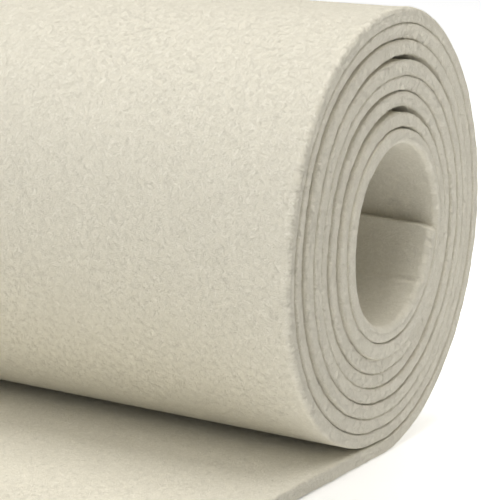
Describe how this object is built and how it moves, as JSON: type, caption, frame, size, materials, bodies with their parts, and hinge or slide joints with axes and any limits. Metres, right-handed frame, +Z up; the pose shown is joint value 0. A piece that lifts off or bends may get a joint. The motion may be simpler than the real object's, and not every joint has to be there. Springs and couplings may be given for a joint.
{
  "type": "roll of felt",
  "caption": "Thick cream felt wound into a roll with an open bore, its loose end lying flat in front of it.",
  "frame": {"origin": "middle of the part's base, on the surface that it lies on", "axes": "+X along the roll's axis, -Y the way the loose end runs, +Z up"},
  "size_m": [0.3011, 0.159, 0.0982],
  "materials": {
    "felt": "matt cream felt with short loose fibres"
  },
  "bodies": {
    "root": {"felt": "felt"}
  },
  "joints": []
}
